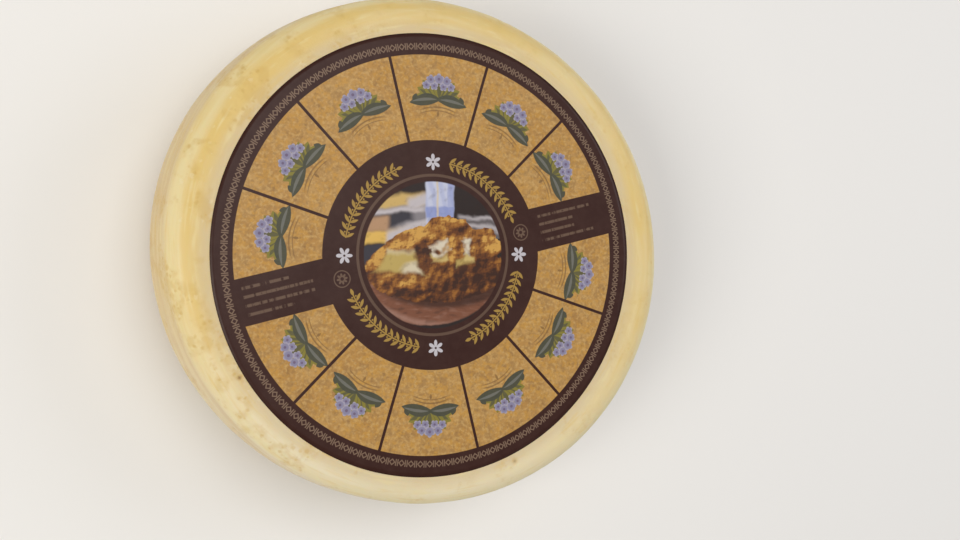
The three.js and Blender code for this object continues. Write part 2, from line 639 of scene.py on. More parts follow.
# %% Start groups, materials and bumps
def new_group(name, inputs, outputs):
    """An empty node group. Returns it, its recipe, its inputs by name and the node for its outputs."""
    kinds = {"number": "NodeSocketFloat", "vector": "NodeSocketVector", "colour": "NodeSocketColor"}
    group = bpy.data.node_groups.new(name, "ShaderNodeTree")
    for direction, sockets in (("INPUT", inputs), ("OUTPUT", outputs)):
        for title, kind in sockets.items():
            group.interface.new_socket(name=title, in_out=direction, socket_type=kinds[kind])
    recipe = Recipe(group)
    given = {s.name: Amount(recipe, s) for s in recipe.node("NodeGroupInput").outputs if s.name}
    return group, recipe, given, recipe.node("NodeGroupOutput")


def new_material(name):
    """An empty material: it, its recipe and its Principled shader."""
    material = bpy.data.materials.new(name)
    material.use_nodes = True
    return material, Recipe(material.node_tree), material.node_tree.nodes["Principled BSDF"]


def add_bump(recipe, shader, height, distance, strength=1.0):
    """Lets light see small unevenness. Distance is how high it stands, in metres."""
    bump = recipe.node("ShaderNodeBump")
    bump.inputs["Distance"].default_value = distance
    bump.inputs["Strength"].default_value = strength
    recipe.feed(bump.inputs["Height"], height)
    recipe.feed(shader.inputs["Normal"], bump.outputs[0])


print("helpers:", [helper.__name__ for helper in (new_group, new_material, add_bump)])

# %% [markdown]
# ## Two effects that the materials share
# Rind and paper are both natural stuff, and both need the same two things. soft_patches gives a mask of
# blotches with soft edges, such as bloom on the rind or flecks of straw in the paper. fine_grain gives
# small unevenness for the bump and the roughness. Each is built once as a node group, and each material
# sets its own sizes.

# %% Build the shared groups
def build_soft_patches():
    """Inputs: place in mm, patches per mm, how much of the surface stays free, and edge softness."""
    inputs = {"Place": "vector", "Patches per mm": "number", "Free": "number", "Softness": "number"}
    group, recipe, given, result = new_group("soft_patches", inputs, {"Mask": "number"})
    cloud = recipe.cloud(given["Place"], given["Patches per mm"], detail=2.0, roughness=0.5, bend=0.15)
    start = given["Free"] - given["Softness"]
    end = given["Free"] + given["Softness"]
    recipe.feed(result.inputs["Mask"], recipe.ramp(cloud, start, end))
    return group


def build_fine_grain():
    """Inputs: place in mm and grains per mm. Output: a height between 0 and 1."""
    group, recipe, given, result = new_group(
        "fine_grain", {"Place": "vector", "Grains per mm": "number"}, {"Height": "number"}
    )
    grain = recipe.cloud(given["Place"], given["Grains per mm"], detail=4.0, roughness=0.62)
    recipe.feed(result.inputs["Height"], grain)
    return group


def patches_of(recipe, place, size, free, softness):
    """The mask of soft_patches with blotches about as wide as size."""
    values = {"Place": place, "Patches per mm": 1 / size, "Free": free, "Softness": softness}
    return recipe.use(soft_patches, **values)["Mask"]


def grain_of(recipe, place, grains_per_mm):
    """The height of fine_grain."""
    return recipe.use(fine_grain, **{"Place": place, "Grains per mm": grains_per_mm})["Height"]


soft_patches = build_soft_patches()
fine_grain = build_fine_grain()
print("shared groups:", soft_patches.name, "and", fine_grain.name)

# %% [markdown]
# ## Rind
# The rind isn't one yellow. Hands, cloths and boards always rub it along the edge, so its marks are long
# streaks that run round the wheel, and not round blotches. For that the noise is given two coordinates:
# how far a point lies along the skin, from the middle of the top over the edge and down the side, and
# its direction from the axis, which is stretched. The far half of the wheel dried a little more and is
# golden, most of all at two places, and the near half stayed creamy. Paler bands follow the rubbed edge,
# and over the rounded edge the colour also holds a painted highlight. A greyer band runs along the
# paper's edge, and the side that the hoop touched is more beige.

# %% Mix the ground of the rind
RIND_GOLD = colour(219, 188, 110)
RIND_STRAW = colour(221, 198, 140)
RIND_PALE = colour(226, 210, 168)
RIND_BLOOM_AND_HIGHLIGHT = colour(228, 212, 160)
RIND_CREAM = colour(232, 220, 188)
RIND_BEIGE = colour(208, 183, 142)
RIND_GREYISH = colour(209, 189, 150)
STREAK_LENGTH = 62.0
STREAK_WIDTH = 8.0
GOLDEN_BAND = (44.0, 64.0)  # this and the next two are radius minus height, which counts along the skin
RUBBED_CREST_AND_HIGHLIGHT = (66.0, 77.0)  # the rubbed edge: paler rind, with a painted highlight over it
SIDE_FROM = 80.0
BAND_SOFTNESS = 14.0
SIDE_SOFTNESS = 5.0


def skin_coordinates(recipe, x, y, z):
    """How far along the skin a point lies, and a vector that stretches noise round the wheel."""
    from_axis = recipe.math("SQRT", x * x + y * y)
    along_skin = from_axis - z
    turns = mean_radius / MM / STREAK_LENGTH
    across = recipe.math("MULTIPLY", x / from_axis, turns)
    up = recipe.math("MULTIPLY", y / from_axis, turns)
    return along_skin, recipe.vector(across, up, along_skin / STREAK_WIDTH)


def rind_bands(recipe, x, y, z, patches):
    """The ground colours: gold and cream, a pale band along the edge with a painted highlight, a greyer
    band by the paper, a beige side.
    """
    along_skin, round_wheel = skin_coordinates(recipe, x, y, z)
    streaks = recipe.cloud(round_wheel, 1.0, detail=2.0, roughness=0.45)
    flecks = recipe.cloud(recipe.bent(round_wheel, 0.5, 0.1), 0.42, detail=2.0)
    off_x, off_y = x - label_centre.x / MM, y - label_centre.y / MM
    from_label = recipe.math("SQRT", off_x * off_x + off_y * off_y)
    near_label = recipe.ramp(from_label, label_radius / MM + 10, label_radius / MM + 1)
    pale_half = recipe.ramp(x * 0.15 - y, -10.0, 130.0)
    creamy_end = recipe.ramp(x * -0.25 - y, 50.0, 145.0)
    dried = recipe.either(recipe.ramp(y * 0.5 - x * 0.87, 60.0, 130.0) * 0.65,
                          recipe.ramp(y * 0.3 + x * 0.9, 55.0, 120.0) * 0.32)
    golden_band = recipe.between(along_skin, *GOLDEN_BAND, BAND_SOFTNESS)
    crest_bloom_and_highlight = recipe.between(along_skin, *RUBBED_CREST_AND_HIGHLIGHT, BAND_SOFTNESS)
    side = recipe.ramp(along_skin, SIDE_FROM - SIDE_SOFTNESS, SIDE_FROM + SIDE_SOFTNESS)
    paint = recipe.coats(
        RIND_STRAW,
        (patches(60, 0.46, 0.2) * 0.65, RIND_GOLD),
        (recipe.ramp(streaks, 0.42, 0.68) * 0.5, RIND_PALE),
        (pale_half * 0.7, RIND_PALE),
        (creamy_end * (recipe.ramp(streaks, 0.3, 0.65) * 0.35 + 0.62), RIND_CREAM),
        (dried * golden_band, RIND_GOLD),
        (side * (recipe.ramp(streaks, 0.7, 0.3) * 0.5 + 0.3), RIND_BEIGE),
        # the rounded edge: paler rind, with a painted highlight laid over it
        (crest_bloom_and_highlight * recipe.ramp(streaks, 0.2, 0.6) * 0.75, RIND_BLOOM_AND_HIGHLIGHT),
        # a greyer band along the paper's edge
        (near_label * recipe.ramp(streaks, 0.15, 0.45) * 0.8, RIND_GREYISH),
        (recipe.ramp(flecks, 0.46, 0.25) * 0.42, RIND_GOLD),
        (recipe.ramp(flecks, 0.54, 0.75) * 0.5, RIND_BLOOM_AND_HIGHLIGHT),
    )
    return paint, streaks


print(f"streaks are about {STREAK_LENGTH:.0f} mm long and {STREAK_WIDTH:.0f} mm wide")

# %% [markdown]
# ## The face that lay on the board
# A ripening board is damp and keeps the face on it a little greyer, with the faint imprint of the wood's
# grain. The grain is noise again, stretched in one direction only. The same noise goes into the bump, so
# that light from the side shows the lines too.

# %% Mark the lower face
LOWER_FACE_FADE = (7.0, 0.5)  # the heights where the look of the lower face begins and is complete
WOOD_GRAIN = (3.0, 55.0)  # width and length of the lines that the board leaves


def board_marks(recipe, x, y, z, paint, patches):
    """The lower face, which the ripening board keeps damp, and the imprint of the wood's grain."""
    lower_face = recipe.ramp(z, *LOWER_FACE_FADE)
    imprint = recipe.cloud(recipe.vector(x / WOOD_GRAIN[0], y / WOOD_GRAIN[1]), 1.0, detail=3.0)
    face = recipe.coats(
        RIND_BEIGE,
        (patches(45, 0.5, 0.25) * 0.8, RIND_STRAW),
        (recipe.ramp(imprint, 0.5, 0.7) * 0.6, RIND_GREYISH),
        (recipe.ramp(imprint, 0.45, 0.25) * 0.5, RIND_GOLD),
    )
    return recipe.paint(paint, lower_face * 0.9, face), lower_face * imprint


print(f"the board's marks fade out {LOWER_FACE_FADE[0]:.0f} mm above the floor")

# %% [markdown]
# ## Freckles, salt and stains
# Amber freckles come in clusters, most of them on the side where the wheel is held, and so do a few pale
# specks of salt. Round spots pushed about by noise look like real ones, where plain round ones look
# printed. Pits take their stain from the attribute on the mesh. A little light goes into cheese before
# it comes back, so the shader also has some subsurface scattering.

# %% Make the rind
RIND_FRECKLE = colour(201, 164, 84)
RIND_BROWN = colour(120, 84, 52)
HELD_SIDE = (20.0, -130.0)  # where across the wheel the freckles begin to gather and are thickest
SALTED_SIDE = (-30.0, -120.0)


def make_rind():
    material, recipe, shader = new_material("cheese_rind")
    place = recipe.place_in_mm()
    x, y, z = recipe.parts(place)

    def patches(size, free, softness):
        return patches_of(recipe, place, size, free, softness)

    paint, streaks = rind_bands(recipe, x, y, z, patches)
    paint, imprint = board_marks(recipe, x, y, z, paint, patches)
    clusters = patches(17, 0.56, 0.06) * (recipe.ramp(x, *HELD_SIDE) * 0.7 + 0.3)
    freckles = recipe.spots(recipe.bent(place, size=2.2, most=1.0), apart=3.4, radius=0.7, soft=1.1)
    salt = recipe.spots(recipe.bent(place, size=2.0, most=1.6), apart=7.0, radius=0.8, soft=1.0)
    stain = Amount(recipe, recipe.node("ShaderNodeAttribute", attribute_name="pit_stain").outputs["Fac"])
    paint = recipe.coats(
        paint,
        (clusters * patches(6, 0.48, 0.12) * 0.36, RIND_FRECKLE),
        (freckles * clusters * 0.55, RIND_FRECKLE),
        (salt * recipe.ramp(x, *SALTED_SIDE) * 0.25, RIND_CREAM),
        (recipe.ramp(stain, 0.0, 0.8) * 0.42, RIND_FRECKLE),
        (recipe.ramp(stain, 0.55, 1.0) * 0.85, RIND_BROWN),
    )
    recipe.feed(shader.inputs["Base Color"], paint)

    grain = grain_of(recipe, place, 0.8)
    recipe.feed(shader.inputs["Roughness"], recipe.ramp(grain, 0.2, 0.9) * 0.22 + 0.4)
    add_bump(recipe, shader, grain + streaks * 1.5 + imprint * 1.5, 0.16 * MM, strength=0.8)
    shader.inputs["Subsurface Weight"].default_value = 0.25
    shader.inputs["Subsurface Radius"].default_value = (1.0, 0.6, 0.25)
    shader.inputs["Subsurface Scale"].default_value = 3 * MM
    shader.inputs["Specular IOR Level"].default_value = 0.4
    return material


cheese.data.materials.append(make_rind())
print("cheese_rind:", len(cheese.data.materials[0].node_tree.nodes), "nodes")

# %% [markdown]
# ## The straw paper of the label
# The label is printed to look like rough straw paper: a tan ground with paler and darker flecks of one
# or two millimetres over broader, very soft clouds. Seen from a step away it reads as kraft card. The
# flecks use the same soft_patches group as the rind, only with much smaller patches.

# %% Mix the straw paper
STRAW_TAN = colour(175, 131, 70)
STRAW_GOLD = colour(190, 142, 64)
STRAW_GREY = colour(148, 113, 68)
STRAW_LIGHT = colour(195, 158, 99)
STRAW_FLECK = colour(126, 94, 58)
STRAW_COATS = (  # size in millimetres, share left free, softness, strength and colour
    (12, 0.5, 0.2, 0.45, STRAW_LIGHT),
    (5.2, 0.54, 0.1, 0.55, STRAW_GREY),
    (3.4, 0.54, 0.1, 0.7, STRAW_GOLD),
    (2.1, 0.56, 0.1, 0.7, STRAW_LIGHT),
    (1.5, 0.56, 0.1, 0.35, STRAW_GREY),
    (2.5, 0.63, 0.08, 0.35, STRAW_FLECK),
)


def build_straw_paper():
    """Input: place in mm. Output: the colour of the unprinted ground."""
    group, recipe, given, result = new_group("straw_paper", {"Place": "vector"}, {"Colour": "colour"})
    paint = STRAW_TAN
    for size, free, softness, strength, tone in STRAW_COATS:
        mask = patches_of(recipe, given["Place"], size, free, softness)
        paint = recipe.paint(paint, mask * strength, tone)
    recipe.feed(result.inputs["Colour"], paint)
    return group


straw_paper = build_straw_paper()
print("straw_paper:", len(straw_paper.nodes), "nodes")

# %% [markdown]
# ## Leaves, flowers and blocks
# Everything drawn on the label is made of a few shapes. A leaf is widest in the middle and pointed at
# both ends, so half its width is a parabola along its length; a point is in the leaf where it lies
# closer to the midrib than that. A flower is a circle whose radius swells once for each petal. A block
# is a turned rectangle. Each function adds the nodes of one shape and gives back its mask.

# %% Shapes for the print
PRINT_EDGE = 0.3  # how far ink bleeds into the paper, in millimetres


def turned(recipe, x, y, middle, turn, scale=1.0):
    """The two coordinates of a point seen from a shape that lies at middle and is turned by turn."""
    c, s = math.cos(math.radians(turn)), math.sin(math.radians(turn))
    shift_along = -(middle[0] * c + middle[1] * s) * scale
    shift_across = middle[0] * s - middle[1] * c
    along = recipe.math("MULTIPLY_ADD", y, s * scale, shift_along)
    along = recipe.math("MULTIPLY_ADD", x, c * scale, along)
    across = recipe.math("MULTIPLY_ADD", x, -s, recipe.math("MULTIPLY_ADD", y, c, shift_across))
    return along, across


def leaf(recipe, x, y, base, turn, length, width, bend=0.0):
    """A pointed leaf from base. Bend moves its tip sideways by that many millimetres."""
    along, across = turned(recipe, x, y, base, turn, 1 / length)
    if bend:
        across = across - along * along * bend
    belly = recipe.math("MULTIPLY_ADD", along, -2 * width, 2 * width) * along
    return recipe.ramp(belly - abs(across), 0.0, PRINT_EDGE)


def flower(recipe, x, y, middle, radius, petals, depth=0.35):
    """The mask of a flower and the distance from its middle."""
    across, up = x - middle[0], y - middle[1]
    away = recipe.math("SQRT", across * across + up * up)
    swell = abs(recipe.math("COSINE", recipe.math("ARCTAN2", across, up) * (petals / 2)))
    edge = recipe.math("MULTIPLY_ADD", swell, radius * depth, radius * (1 - depth))
    return recipe.ramp(edge - away, 0.0, PRINT_EDGE), away


def block(recipe, x, y, middle, turn, half_length, half_width, soft=0.8):
    """A turned rectangle with slightly soft edges."""
    along, across = turned(recipe, x, y, middle, turn)
    outside = recipe.math("MAXIMUM", abs(along) - half_length, abs(across) - half_width)
    return recipe.under(outside, 0.0, soft)


def ellipse(recipe, x, y, middle, half_width, half_height, soft=0.06):
    """A soft-edged ellipse."""
    across = (x - middle[0]) / half_width
    up = (y - middle[1]) / half_height
    return recipe.under(across * across + up * up, 1.0, soft)


print("print shapes:", [shape.__name__ for shape in (leaf, flower, block, ellipse)])

# %% [markdown]
# ## Twelve flower sprigs
# A small picture stands in each field of the label. Here it is a sprig of alpine flowers: seven pale
# lilac heads, olive leaves behind them, and two long grey-green leaves that spread out below like a
# bow. Leaves come first. A second, narrower leaf laid off to one side of each gives it a darker half.

# %% Draw the leaves of a sprig
LEAF_OLIVE = colour(124, 118, 50)
LEAF_MOSS = colour(82, 84, 56)
BOW_GREEN = colour(56, 66, 58)
BOW_PALE = colour(106, 110, 106)
LEAF_FAN = (176, 4, 156, 24, 134, 46, 112, 68, 90)  # degrees, outer leaves first
LEAF_SIZE = (13.2, 6.2)  # length and width
LEAF_SHADE_SIZE = (12.2, 3.0)
BOW_SIZE = (17.5, 6.8)
BOW_RIB_SIZE = (15.5, 1.9)
BOW_TIP_SIZE = (5.4, 3.4)


def draw_leaves(recipe, x, y, paint, drawn):
    """A fan of olive leaves behind the flowers, each with a darker half, over their common shade."""
    shade = ellipse(recipe, x, y, (0.0, 1.8), 9.6, 6.4, soft=0.2)
    paint, drawn = recipe.paint(paint, shade, LEAF_MOSS), recipe.either(drawn, shade)
    for turn in LEAF_FAN:
        mask = leaf(recipe, x, y, (0.0, -3.4), turn, *LEAF_SIZE)
        shade = leaf(recipe, x, y, (0.4, -3.8), turn, *LEAF_SHADE_SIZE)
        paint = recipe.paint(paint, mask, LEAF_OLIVE)
        paint = recipe.paint(paint, shade * mask, LEAF_MOSS)
        drawn = recipe.either(drawn, mask)
    return paint, drawn


def draw_bow(recipe, x, y, paint, drawn):
    """Two long leaves that hang down to the sides, with pale midribs and turned-up tips."""
    for side, turn in ((1, 4), (-1, 176)):
        mask = leaf(recipe, x, y, (-1.5 * side, -3.7), turn, *BOW_SIZE, bend=-4.0 * side)
        rib = leaf(recipe, x, y, (0.0, -3.7), turn, *BOW_RIB_SIZE, bend=-3.4 * side)
        tip = leaf(recipe, x, y, (13.6 * side, -6.4), 90 + 14 * side, *BOW_TIP_SIZE)
        mask = recipe.either(mask, tip)
        paint = recipe.paint(recipe.paint(paint, mask, BOW_GREEN), rib * 0.8, BOW_PALE)
        drawn = recipe.either(drawn, mask)
    return paint, drawn


print(len(LEAF_FAN), "leaves in the fan and 2 in the bow")

# %% [markdown]
# The heads go over the leaves, and the sprig becomes a node group. It knows only how far a point lies to
# the right of and above its own middle. It is drawn once, and the label's material places it twelve
# times by folding the angle.

# %% Draw the flowers and the whole sprig
PETAL_LILAC = colour(128, 127, 157)
PETAL_WHITE = colour(170, 165, 181)
FLOWER_HEART = colour(98, 88, 120)
TENDRIL_BROWN = colour(122, 92, 54)
FLOWER_HEADS = (  # middle and radius, each over the ones before it
    ((-6.8, 3.6), 2.6),
    ((6.9, 3.4), 2.6),
    ((-2.5, 3.4), 2.5),
    ((2.7, 3.3), 2.5),
    ((-4.4, 6.6), 2.8),
    ((4.5, 6.4), 2.8),
    ((0.1, 7.2), 3.2),
)


def draw_flowers(recipe, x, y, paint, drawn):
    """Seven lilac heads with white rims and a darker heart."""
    for middle, radius in FLOWER_HEADS:
        mask, away = flower(recipe, x, y, middle, radius, petals=5, depth=0.28)
        petals = recipe.paint(PETAL_LILAC, recipe.ramp(away, radius * 0.5, radius), PETAL_WHITE)
        petals = recipe.paint(petals, recipe.under(away, radius * 0.24, 0.5), FLOWER_HEART)
        paint = recipe.paint(paint, mask, petals)
        drawn = recipe.either(drawn, mask)
    return paint, drawn


def build_flower_sprig():
    """Inputs: millimetres to the right of and above the middle. Outputs: its colour and its mask."""
    group, recipe, given, result = new_group(
        "flower_sprig", {"Across": "number", "Up": "number"}, {"Colour": "colour", "Mask": "number"}
    )
    x, y = given["Across"], given["Up"]
    sag = y + x * x * 0.022
    arcs = recipe.either(recipe.between(sag, -8.0, -7.2, 0.4), recipe.between(sag, -9.7, -9.2, 0.4))
    arcs = arcs * recipe.under(abs(x), 9.5, 4.0)
    drawn = recipe.either(arcs, leaf(recipe, x, y, (0.0, -9.2), -90, 3.6, 1.6)) * 0.8
    paint, drawn = draw_leaves(recipe, x, y, TENDRIL_BROWN, drawn)
    paint, drawn = draw_bow(recipe, x, y, paint, drawn)
    paint, drawn = draw_flowers(recipe, x, y, paint, drawn)
    recipe.feed(result.inputs["Colour"], paint)
    recipe.feed(result.inputs["Mask"], drawn)
    return group


flower_sprig = build_flower_sprig()
print("flower_sprig:", len(flower_sprig.nodes), "nodes")

# %% [markdown]
# ## Gold garlands and white star flowers
# The dark inner ring carries four gold garlands with a small white star flower before each. A garland
# is one pair of leaves that repeats along the ring: the fraction of a division says where a point lies
# within its repeat. Fine rosettes sit in the two gaps beside the bars.

# %% Draw the ring's garlands, stars and rosettes
GARLAND_HALF_LENGTH = 25.2
GARLAND_REPEATS = 12
GARLAND_LEAF = (5.7, 2.0)  # length and width
STAR_BEFORE_GARLAND = 35.0
STAR_RADIUS = 4.8
ROSETTE_PETALS = 3.3  # the radius of the petals
ROSETTE_RING = (4.2, 4.8)


def build_garland():
    """Inputs: millimetres along the ring from the garland's middle, and off the ring's middle line."""
    group, recipe, given, result = new_group(
        "leaf_garland", {"Along": "number", "Off": "number"}, {"Gold": "number", "White": "number"}
    )
    along, off = given["Along"], given["Off"]
    repeat = 2 * GARLAND_HALF_LENGTH / GARLAND_REPEATS
    within = (recipe.math("FRACT", along / repeat) - 0.5) * repeat
    upper = leaf(recipe, within, off, (-1.95, 0.0), 50, *GARLAND_LEAF)
    lower = leaf(recipe, within, off, (-1.95, 0.0), -50, *GARLAND_LEAF)
    stem = recipe.under(abs(off), 0.38, PRINT_EDGE)
    bead, _ = flower(recipe, within, abs(off), (1.05, 1.15), 0.62, petals=0)
    inside = recipe.under(abs(along), GARLAND_HALF_LENGTH, 0.1)
    tip = leaf(recipe, along, off, (GARLAND_HALF_LENGTH - 0.6, 0.0), 0, 4.6, 2.2)
    gold = recipe.either(recipe.either(upper, lower, stem, bead) * inside, tip)
    recipe.feed(result.inputs["Gold"], gold)
    from_star = along + STAR_BEFORE_GARLAND
    star, away = flower(recipe, from_star, off, (0.0, 0.0), STAR_RADIUS, petals=6, depth=0.72)
    recipe.feed(result.inputs["White"], star * recipe.ramp(away, 0.4, 0.9))
    return group


def build_rosette():
    """Inputs: millimetres from the rosette's middle. Output: its fine lines."""
    group, recipe, given, result = new_group(
        "rosette", {"Across": "number", "Up": "number"}, {"Mask": "number"}
    )
    across, up = given["Across"], given["Up"]
    petals, away = flower(recipe, across, up, (0.0, 0.0), ROSETTE_PETALS, petals=8, depth=0.5)
    heart = recipe.under(away, 1.0, PRINT_EDGE)
    ring = recipe.between(away, *ROSETTE_RING, PRINT_EDGE)
    recipe.feed(result.inputs["Mask"], recipe.either(ring, petals - heart))
    return group


leaf_garland = build_garland()
rosette = build_rosette()
print("leaf_garland:", len(leaf_garland.nodes), "nodes, rosette:", len(rosette.nodes), "nodes")

# %% [markdown]
# ## The border and the ruled bars
# A pale border of hollow lozenges between upright strokes runs round the dark outer ring. The two dark
# bars that cross the straw paper each hold four rows of small marks. A noise breaks the rows up, so they
# have the rhythm of a printed note without being one, and every row stops somewhere else.

# %% Draw the border and the ruled lines
BORDER_MIDDLE = 117.6
BORDER_REPEATS = 132
LOZENGE_REACH = 1.55  # from its middle to each of its points
STROKE_PLACE = 2.25  # from the lozenge's middle
STROKE_REACH = 1.9
ROW_SPACING = 4.8
ROWS_FROM = (-110.0, 68.0)  # where the rows start on the left bar and on the right one
ROW_LENGTH = 31.0
ROW_RAGGED = 8.2  # how much longer or shorter a row can be
ROW_SIDE_STEP = 3.5  # rows are shorter by this on the right bar, and longer on the left one


def build_border():
    """Inputs: degrees round the label and millimetres from its middle. Output: the pale marks."""
    group, recipe, given, result = new_group(
        "lozenge_border", {"Degrees": "number", "Radius": "number"}, {"Mask": "number"}
    )
    repeat = 2 * math.pi * BORDER_MIDDLE / BORDER_REPEATS
    within = abs(recipe.math("FRACT", given["Degrees"] * (BORDER_REPEATS / 360)) - 0.5) * repeat
    off = abs(given["Radius"] - BORDER_MIDDLE)
    lozenge = recipe.under(abs(within + off - LOZENGE_REACH), 0.42, PRINT_EDGE)
    stroke = recipe.under(abs(within - STROKE_PLACE), 0.3, 0.25) * recipe.under(off, STROKE_REACH, 0.25)
    recipe.feed(result.inputs["Mask"], recipe.either(lozenge, stroke))
    return group


def build_ruled_lines():
    """Inputs: millimetres out along a bar, negative on the left, and across it. Output: pale marks."""
    group, recipe, given, result = new_group(
        "ruled_lines", {"Out": "number", "Across": "number"}, {"Mask": "number"}
    )
    out, across = given["Out"], given["Across"]
    row = recipe.math("FLOOR", across / ROW_SPACING) + 0.5
    off = abs(across - row * ROW_SPACING)
    marks = recipe.cloud(recipe.vector(out, row * 7.3, off * 0.5), 1.7, detail=1.5)
    rows = recipe.under(off, 0.8, 0.6) * recipe.under(abs(row), 2.0, 0.1)
    side = recipe.math("SIGN", out)
    left_start, right_start = ROWS_FROM
    from_start = out - side * ((right_start - left_start) / 2) - (right_start + left_start) / 2
    ragged = recipe.math("COSINE", row * 2.0) * ROW_RAGGED + ROW_SIDE_STEP
    to_end = ROW_LENGTH - side * ragged - from_start
    length = recipe.ramp(from_start, 0.0, 0.5) * recipe.ramp(to_end, 0.0, 0.5)
    recipe.feed(result.inputs["Mask"], recipe.ramp(marks, 0.34, 0.5) * rows * length)
    return group


lozenge_border = build_border()
ruled_lines = build_ruled_lines()
print("border:", len(lozenge_border.nodes), "nodes, ruled lines:", len(ruled_lines.nodes), "nodes")

# %% [markdown]
# ## The picture of a dish in the middle
# The round picture shows what such a cheese is for: a golden mound of baked maize with pieces of melting
# cheese, on an earthenware plate, in front of a checked cloth. The areas are painted from the back of
# the table to the front, so that each can run on behind the next, as in a stage set.

# %% Paint the table and the plate
TABLE_DARK = colour(44, 34, 32)
CLOTH_WHITE = colour(190, 193, 212)
CLOTH_BLUE = colour(122, 134, 188)
CLOTH_THREAD = colour(206, 186, 150)
BREAD_CREAM = colour(196, 164, 100)
BREAD_TAN = colour(174, 137, 104)
BREAD_YELLOW = colour(212, 172, 88)
SLATE = colour(58, 55, 62)
CHINA = colour(186, 178, 180)
PLATE_CLAY = colour(120, 76, 56)
PLATE_LIGHT = colour(158, 120, 104)
CRUST_SHADOW = colour(54, 33, 26)
TABLE_BANDS = (  # from, to and colour
    (29.0, 36.0, BREAD_CREAM),
    (25.5, 29.0, CHINA),
    (17.5, 25.5, SLATE),
    (10.5, 17.5, BREAD_YELLOW),
)


def paint_table(recipe, x, y):
    """The back of the table: bread and slate on the left, the cloth in the middle, china on the right."""
    slant = y - x * 0.13
    left = recipe.under(x, -5.0, 6.0)
    far_left = recipe.under(x, -27.0, 4.0)
    low_fold = recipe.between(y - x * 0.33, 14.0, 22.5, 5.0) * recipe.between(x, -28.0, 0.0, 4.0)
    high_fold = recipe.between(y - x * 0.3, 30.0, 36.5, 4.0) * recipe.between(x, -16.0, 0.0, 5.0)
    hollow = recipe.between(x, -13.0, 0.0, 6.0) * recipe.between(y, 10.0, 32.0, 4.0) * 0.4
    cloth = recipe.between(x, -5.0, 11.8, 1.6) * recipe.ramp(y, 8.0, 12.0)
    creases = recipe.ramp(recipe.math("SINE", x * 1.1 + y * 0.25), -1.0, 1.0) * 0.28
    checks = recipe.either(recipe.between(y, 20.5, 27.5, 1.6), recipe.between(x, 8.0, 11.8, 1.2) * 0.6)
    thread = recipe.between(x, 1.4, 2.6, 0.8)
    china = recipe.ramp(x, 13.5, 16.5) * recipe.between(y + x * 0.1, 15.5, 25.5, 2.5)
    stack = recipe.math("SINE", y * 1.25 + x * 0.2) * 0.3 + 0.5
    return recipe.coats(
        TABLE_DARK,
        *[(left * recipe.between(slant, low, high, 3.4), tone) for low, high, tone in TABLE_BANDS],
        (far_left * recipe.between(slant, 17.0, 25.0, 3.0), BREAD_TAN),
        (far_left * recipe.between(slant, 0.0, 9.5, 2.0), SLATE),
        (recipe.either(low_fold, high_fold, hollow), CHINA),
        (cloth, CLOTH_WHITE),
        (cloth * creases, CLOTH_BLUE),
        (cloth * checks * 0.75, CLOTH_BLUE),
        (cloth * thread * 0.7, CLOTH_THREAD),
        (china * stack, CHINA),
    )


def paint_plate(recipe, x, y, paint):
    """The front of a plate of mottled clay, with a soft light on its rim and the mound's shadow."""
    mottled = recipe.cloud(recipe.vector(x / 3.0, y), 2.6, detail=1.5)
    clay = recipe.coats(
        PLATE_CLAY,
        (recipe.ramp(mottled, 0.5, 0.7) * 0.3, PLATE_LIGHT),
        (recipe.ramp(mottled, 0.45, 0.3) * 0.35, TABLE_DARK),
    )
    plate = ellipse(recipe, x, y, (-3.0, -13.0), 41.0, 26.5, soft=0.1) * recipe.under(y, -12.0, 6.0)
    rim = plate * recipe.between(y - x * x * 0.008 + x * 0.08, -41.0, -38.0, 4.0)
    shadow = ellipse(recipe, x, y, (5.0, -12.0), 41.0, 18.0, soft=0.4)
    return recipe.coats(paint, (plate, clay), (rim * 0.8, PLATE_LIGHT), (shadow * 0.8, CRUST_SHADOW))


print("behind the plate:", len(TABLE_BANDS), "bands of bread, china and slate, and the cloth")

# %% [markdown]
# ## The baked maize
# The mound's outline is a few ellipses run together. Its crumbs need light and shade, and a trick from
# embossing gives them both: the same noise is read twice, the second time a little to the lower right.
# The difference between the two is large where a lump slopes down that way, as if light came from there.
# Large soft lights and shadows over it make the heap round.

# %% Bake the mound
CRUST_GOLD = colour(148, 96, 42)
CRUST_BRIGHT = colour(200, 152, 76)
CRUST_BROWN = colour(98, 57, 30)
RELIEF_SHIFT = 0.21  # how far the second reading of the noise is moved, as a share of a lump's size
RELIEF_STRENGTH = 4.0
MOUND_SHAPE = (  # middle, half width and half height of the ellipses that make its outline
    ((1.0, -8.0), 42.0, 19.0),
    ((4.0, 1.5), 34.0, 15.5),
    ((8.0, 12.0), 15.0, 10.5),
    ((29.0, 5.0), 13.0, 9.5),
)
MOUND_LIGHT = (  # middle, half width, half height, and how much lighter or darker it is there
    ((-6.0, 13.0), 13.0, 5.0, 0.45),
    ((38.0, 9.0), 8.0, 8.0, 0.75),
    ((13.0, 3.0), 8.0, 7.0, 0.35),
    ((-31.0, -1.0), 7.0, 8.0, 0.4),
    ((-19.0, -13.5), 10.0, 5.0, 0.5),
    ((26.0, 1.5), 7.0, 7.0, -0.6),
    ((9.0, 15.0), 13.0, 4.5, -0.6),
    ((-6.0, 1.0), 7.5, 7.0, -0.6),
    ((29.0, -13.0), 20.0, 9.0, -0.55),
    ((-4.0, -24.0), 34.0, 6.0, -0.3),
)


def relief(recipe, place, size):
    """Light and shade on lumps of one size, from about -1 on the dark side to 1 on the lit one."""
    moved = recipe.node("ShaderNodeVectorMath", operation="ADD")
    recipe.feed(moved.inputs[0], place)
    moved.inputs[1].default_value = (size * RELIEF_SHIFT, -size * RELIEF_SHIFT, 0)
    here = recipe.cloud(place, size, detail=2.5, roughness=0.5)
    there = recipe.cloud(moved.outputs[0], size, detail=2.5, roughness=0.5)
    return (here - there) * RELIEF_STRENGTH, here


